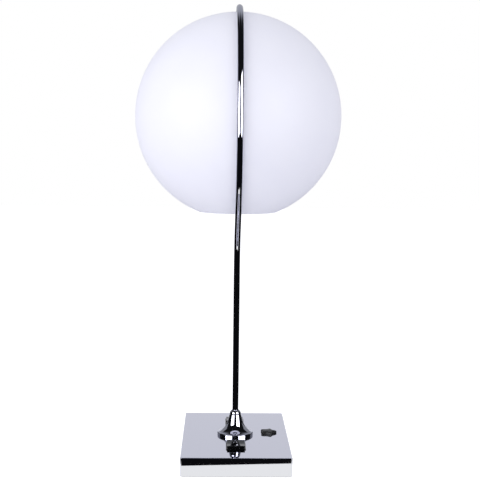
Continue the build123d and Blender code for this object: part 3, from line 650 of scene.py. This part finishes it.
# %% Trumpet foot
BASE_TOP = 27.0
RIM_R, RIM_T, RIM_ROUND, NECK_R, BELL_H, CONE_H, TAPER = 26.4, 4.8, 1.8, 8.4, 30.5, 9.0, 12.5
BELL_WALL, BELL_LIP_H, BELL_BORE_R = 1.8, 4.0, 5.7
TOP_CUT, TOP_FLARE, RIM_CUT = 0.25, 0.06, 0.3


def bell_profile():
    """Closed profile: rim, flare arc, cone, top, and the bore and inner flare back down.
    The flare's radius is |d|^2 / (2 d . n): d goes from the cone's foot to the rim, and n is square to the
    cone. Small cuts soften the corners at the top and under the rim."""
    slope = np.radians(TAPER)
    normal = np.array([np.cos(slope), np.sin(slope)])
    foot = np.array([RIM_R - RIM_ROUND, RIM_T])
    cone = np.array([NECK_R + CONE_H * np.tan(slope), BELL_H - CONE_H])
    d = foot - cone
    radius = d @ d / (2 * d @ normal)
    centre = cone + radius * normal
    low = 180 + np.degrees(np.arctan2(*(centre - foot)[::-1]))
    rim_edge = arc_points((foot[0], RIM_T - RIM_ROUND), RIM_ROUND, 0, 90, 14)
    flare = arc_points(centre, radius, low, 180 + TAPER, 64)
    rim_in, lip, inner_r = RIM_R - BELL_WALL, BELL_H - BELL_LIP_H, radius + BELL_WALL
    inner_cone = cone - BELL_WALL * normal
    throat = inner_cone[0] - (lip - inner_cone[1]) * np.tan(slope)
    mouth = 180 + np.degrees(np.arccos((centre[0] - rim_in) / inner_r))
    inner = arc_points(centre, inner_r, 180 + TAPER, mouth, 48)
    top = [[NECK_R + TOP_FLARE, BELL_H - TOP_CUT], [NECK_R - TOP_CUT, BELL_H], [BELL_BORE_R, BELL_H],
           [BELL_BORE_R, lip], [throat, lip]]
    base = [[rim_in, 0.0], [RIM_R - RIM_CUT, 0.0], [RIM_R, RIM_CUT]]
    return np.vstack([base, rim_edge, flare, top, inner]) + (0, BASE_TOP)


foot_grid = turned(bell_profile(), segments=160)
piece_from_grid("trumpet_foot", foot_grid, chrome, "bell_foot", "lamp")

# %% Collar
COLLAR_R, COLLAR_H, COLLAR_BAND, COLLAR_TAPER, DOME_R, COLLAR_BORE_R = 8.2, 6.2, 1.4, 12.0, 8.6, 4.55
slope = np.radians(COLLAR_TAPER)
dome_centre = COLLAR_R - DOME_R * np.cos(slope), COLLAR_BAND - DOME_R * np.sin(slope)
dome_top = np.degrees(np.arcsin((COLLAR_H - dome_centre[1]) / DOME_R))
dome = arc_points(dome_centre, DOME_R, COLLAR_TAPER, dome_top, 24)
ends = np.array([[COLLAR_BORE_R, COLLAR_H], [COLLAR_BORE_R, 0.0], [COLLAR_R - TOP_CUT, 0.0],
                 [COLLAR_R, TOP_CUT]])
collar_profile = np.vstack([dome, ends]) + (0, BASE_TOP + BELL_H)
collar_grid = turned(collar_profile, segments=96)
piece_from_grid("domed_collar", collar_grid, chrome, "stem_collar", "lamp")

# %% [markdown]
# ## The rocker switches
# Each switch is a thin bezel with a dished rocker in it. The rocker's side view is an outline with soft
# corners; carrying it across, drawn in a little at both ends, gives soft moulded edges. The rear switch is
# the front one turned half round.

# %% Outline helper


def carried(outline, stations):
    """Grid of a closed outline at stations of (position, inset): an inset draws points in along normals."""
    normal = outward(outline)
    place = np.array([s[0] for s in stations])[:, None]
    inset = np.array([s[1] for s in stations])[:, None, None]
    flat = outline[None] - inset * normal[None]
    return np.concatenate([flat, np.broadcast_to(place, flat.shape[:2])[..., None]], -1)


def soft_ends(low, high, radius, steps=5):
    """Stations from low to high whose two ends are rounded off by a quarter circle."""
    t = np.radians(np.linspace(0, 90, steps))
    first = [(low + radius * (1 - np.sin(a)), radius * (1 - np.cos(a))) for a in t[::-1]]
    last = [(high - radius * (1 - np.sin(a)), radius * (1 - np.cos(a))) for a in t]
    return first + last


print("outline helper ready")

# %% Rockers
SWITCH_Y, PIVOT_Z, ROCKER_W, ROCKER_R = -63.0, 24.5, 25.4, 15.5
ROCKER_CROWN, ROCKER_DISH_R, ROCKER_TILT, ROCKER_SKIRT = 7.3, 125.0, 3.0, 8.0
CORNER_TURN, DISH_SHARE, ROCKER_ROUND = 2.0, 0.96, 0.5


def rocker_grid():
    """Side view about the pivot: a shallow dish on top, arcs about the pivot at both ends.
    The dish meets an end where two circles cross, at height (r^2 + c^2 - d^2) / 2c: r is the end's radius,
    d the dish's, and c the height of the dish's centre."""
    centre_z = ROCKER_CROWN + ROCKER_DISH_R
    corner_z = (ROCKER_R**2 + centre_z**2 - ROCKER_DISH_R**2) / (2 * centre_z)
    corner_y = np.sqrt(ROCKER_R**2 - corner_z**2)
    near, far = -ROCKER_SKIRT, np.degrees(np.arctan2(corner_z, corner_y)) - CORNER_TURN
    right = arc_points((0, 0), ROCKER_R, near, far, 14)
    left = arc_points((0, 0), ROCKER_R, 180 - far, 180 - near, 14)
    y = np.linspace(DISH_SHARE, -DISH_SHARE, 25) * corner_y
    dish = np.stack([y, centre_z - np.sqrt(ROCKER_DISH_R**2 - y**2)], 1)
    grid = carried(np.vstack([right, dish, left]), soft_ends(-ROCKER_W / 2, ROCKER_W / 2, ROCKER_ROUND))
    tilt = np.radians(ROCKER_TILT)
    y, z, x = grid[..., 0], grid[..., 1], grid[..., 2]
    return np.stack([x, SWITCH_Y + y * np.cos(tilt) - z * np.sin(tilt),
                     PIVOT_Z + y * np.sin(tilt) + z * np.cos(tilt)], -1)


side_turn = {"front": np.array([1, 1, 1]), "rear": np.array([-1, -1, 1])}
for side, turn in side_turn.items():
    piece_from_grid(f"{side}_rocker_cap", rocker_grid() * turn, black_abs, f"{side}_rocker",
                    f"{side}_rocker", caps=True)

# %% Bezels
HOUSING_W, HOUSING_L, HOUSING_WALL, BEZEL_LIP, BEZEL_H = 27.6, 33.2, 0.8, 0.3, 1.0
HOUSING_BASE, CAVITY_FLOOR, CORNER_R, CORNER_GROWTH = 10.0, 20.61, 0.9, 0.3
OUTER_CUT, OUTER_STEP, INNER_CUT, EDGE_STEP = 0.3, 0.1, 0.25, 0.08


def bezel_grid():
    """Rings of a rounded rectangle, from the foot of the housing up, over the bezel and down into its well.
    Each ring is (growth, height): growth is how far it lies outside the housing's wall."""
    rim = BASE_TOP + BEZEL_H
    rings = [(0, HOUSING_BASE), (0, BASE_TOP), (BEZEL_LIP, BASE_TOP), (BEZEL_LIP, rim - OUTER_CUT),
             (BEZEL_LIP - OUTER_STEP, rim - EDGE_STEP), (BEZEL_LIP - OUTER_CUT, rim),
             (INNER_CUT - HOUSING_WALL, rim), (EDGE_STEP - HOUSING_WALL, rim - EDGE_STEP),
             (-HOUSING_WALL, rim - INNER_CUT), (-HOUSING_WALL, CAVITY_FLOOR)]
    half = np.array([HOUSING_W, HOUSING_L]) / 2
    corners = np.array([[-1, -1], [1, -1], [1, 1], [-1, 1]])
    layers = [rounded(corners * (half + growth), CORNER_R + CORNER_GROWTH * growth, 5) for growth, _ in rings]
    height = np.array([z for _, z in rings])[:, None, None]
    flat = np.array(layers) + (0, SWITCH_Y)
    return np.concatenate([flat, np.broadcast_to(height, (*flat.shape[:2], 1))], -1)


for side, turn in side_turn.items():
    piece_from_grid(f"{side}_switch_bezel", bezel_grid() * turn, black_abs, f"{side}_switch_housing",
                    "lamp", caps=True)

# %% [markdown]
# ## The star knob
# A low five-pointed knob that turns the dimmer. Its outline alternates between a point radius and a notch
# radius, with rounded corners. Rings of that outline, smaller and smaller, climb to a domed top; a round
# pocket below makes room for the bush.

# %% Star knob
DIMMER_X, DIMMER_Y, KNOB_BASE, POCKET_R, POCKET_H = 49.2, 6.0, 27.3, 5.5, 0.5
POINT_R, NOTCH_R, POINT_ROUND, NOTCH_ROUND, POINTS = 13.4, 8.6, 1.2, 2.0, 5
# Rings of the outline from the foot to the top: each has a share of the full outline, and a height
FOOT_Z = -0.2
RINGS = [(0.98, FOOT_Z), (1, 0.0), (1, 1.7), (0.99, 2.1), (0.965, 2.45), (0.93, 2.75), (0.88, 3.05),
         (0.8, 3.35), (0.7, 3.55), (0.56, 3.75), (0.4, 3.85), (0.2, 3.9)]


def knob_grid():
    """Two rings of the pocket, then rings of the star: its corners lie at angles of pi * k / points, in turn
    at the point's radius and the notch's, and the pocket is the star brought to one radius."""
    angle = np.pi * np.arange(2 * POINTS) / POINTS
    reach = np.where(np.arange(2 * POINTS) % 2 == 0, POINT_R, NOTCH_R)
    corners = np.stack([reach * np.cos(angle), reach * np.sin(angle)], 1)
    star = rounded(corners, [POINT_ROUND, NOTCH_ROUND] * POINTS, 9)
    pocket = POCKET_R * star / np.linalg.norm(star, axis=1)[:, None]
    share, climb = np.array(RINGS).T
    height = np.concatenate([[POCKET_H, FOOT_Z], climb])
    flat = np.concatenate([pocket[None], pocket[None], share[:, None, None] * star])
    grid = np.concatenate([flat, np.broadcast_to(height[:, None, None], (*flat.shape[:2], 1))], -1)
    return grid + (DIMMER_X, DIMMER_Y, KNOB_BASE)


piece_from_grid("star_knob", knob_grid(), satin_abs, "dimmer_knob", "dimmer", caps=True)

# %% [markdown]
# ## The base cover and the felt
# The cover is a folded chrome box with cut-outs for the switches. Its solid already has the right shape, so
# a copy of it is welded and its normals are weighted by face area: the flats stay true mirrors and the small
# rolled edges look round. The felt is die-cut sheet, so its copy only gets soft edges.

# %% Cover and felt
WELD_MM, FLAT_WITHIN, EDGE_FROM, FELT_ROUND = 0.002, radians(0.5), radians(40), 0.3


def welded_copy(name, node):
    """A copy of a node's mesh with its loose corners welded, smooth up to the angle where an edge starts."""
    mesh = frame["nodes"][node].data.copy()
    mesh.name = name
    if "custom_normal" in mesh.attributes:
        mesh.attributes.remove(mesh.attributes["custom_normal"])
    weld = bmesh.new()
    weld.from_mesh(mesh)
    bmesh.ops.remove_doubles(weld, verts=weld.verts, dist=WELD_MM * MM)
    bmesh.ops.dissolve_limit(weld, angle_limit=FLAT_WITHIN, verts=weld.verts, edges=weld.edges)
    weld.to_mesh(mesh)
    weld.free()
    mesh.shade_smooth()
    mesh.set_sharp_from_angle(angle=EDGE_FROM)
    piece = bpy.data.objects.new(name, mesh)
    scene.collection.objects.link(piece)
    return piece


cover = welded_copy("chrome_cover", "base_cover")
flats = cover.modifiers.new("flats", "WEIGHTED_NORMAL")
flats.keep_sharp = True
dress(cover, chrome, "base_cover", "lamp")
pad = welded_copy("felt_sole", "felt_pad")
soft = pad.modifiers.new("soft_edge", "BEVEL")
soft.width, soft.segments, soft.limit_method, soft.angle_limit = FELT_ROUND * MM, 2, "ANGLE", EDGE_FROM
dress(pad, felt, "felt_pad", "lamp")

# %% [markdown]
# ## The cord inlet and the bulb
# A rubber grommet lines the inlet in the rear wall. The bulb is a common pear shape: a ball, a shoulder that
# curves the other way, and a neck inside the metal cap.

# %% Grommet
INLET_Z, WALL_Y, SHEET = 14.5, 116.5, 1.5
BORE_R, GROOVE_R, FLANGE_R, FLANGE_T, GROOVE_GAP = 3.4, 4.4, 5.7, 1.5, 0.1
LIP_ROUND, GROOVE_ROUND, FACE_ROUND, BORE_ROUND, FLANGE_ROUND = 0.1, 0.05, 0.4, 0.5, 0.6
inside, outside = -SHEET - GROOVE_GAP, GROOVE_GAP
grommet_profile = rounded([(BORE_R, inside - FLANGE_T), (FLANGE_R, inside - FLANGE_T), (FLANGE_R, inside),
                           (GROOVE_R, inside), (GROOVE_R, outside), (FLANGE_R, outside),
                           (FLANGE_R, outside + FLANGE_T), (BORE_R, outside + FLANGE_T)],
                          [FACE_ROUND, FACE_ROUND, LIP_ROUND, GROOVE_ROUND, GROOVE_ROUND, LIP_ROUND,
                           FLANGE_ROUND, BORE_ROUND])
upright = turned(grommet_profile, segments=64)
grommet_grid = np.stack([upright[..., 0], WALL_Y + upright[..., 2], INLET_Z - upright[..., 1]], -1)
piece_from_grid("cord_inlet_grommet", grommet_grid, rubber, "cord_grommet", "lamp")

# %% Bulb
BULB_R, BULB_NECK_R, BULB_LOW, BULB_NECK_Z, BULB_TOP, BULB_WALL = 30.0, 12.5, 479.9, 559.9, 579.9, 0.8
POLE_ANGLE, POLE_R = -89.5, 0.02


def bulb_profile():
    """Closed profile: ball, shoulder arc tangent to it, neck, and back inside a wall's thickness away.
    The shoulder's radius is (d^2 + n^2 - r^2) / 2(r - n): d is the neck's height over the ball's centre,
    n the neck's radius and r the ball's."""
    ball_z = BULB_LOW + BULB_R
    drop = BULB_NECK_Z - ball_z
    shoulder = (drop**2 + BULB_NECK_R**2 - BULB_R**2) / (2 * (BULB_R - BULB_NECK_R))
    join = np.degrees(np.arctan2(drop, BULB_NECK_R + shoulder))
    ball = arc_points((0, ball_z), BULB_R, POLE_ANGLE, join, 60)
    curve = arc_points((BULB_NECK_R + shoulder, BULB_NECK_Z), shoulder, 180 + join, 180, 24)
    outer = np.vstack([ball, curve[1:], [[BULB_NECK_R, BULB_TOP]]])
    tangent = np.gradient(outer, axis=0)
    tangent /= np.linalg.norm(tangent, axis=1)[:, None]
    inner = outer - BULB_WALL * np.stack([tangent[:, 1], -tangent[:, 0]], 1)
    inner[:, 0] = np.maximum(inner[:, 0], POLE_R)
    outer[0, 0] = POLE_R
    return np.vstack([outer, inner[::-1]])


bulb_grid = turned(bulb_profile(), GLOBE_Y, segments=96)
piece_from_grid("pear_bulb", bulb_grid, lamp_glass, "bulb_glass", "lamp")
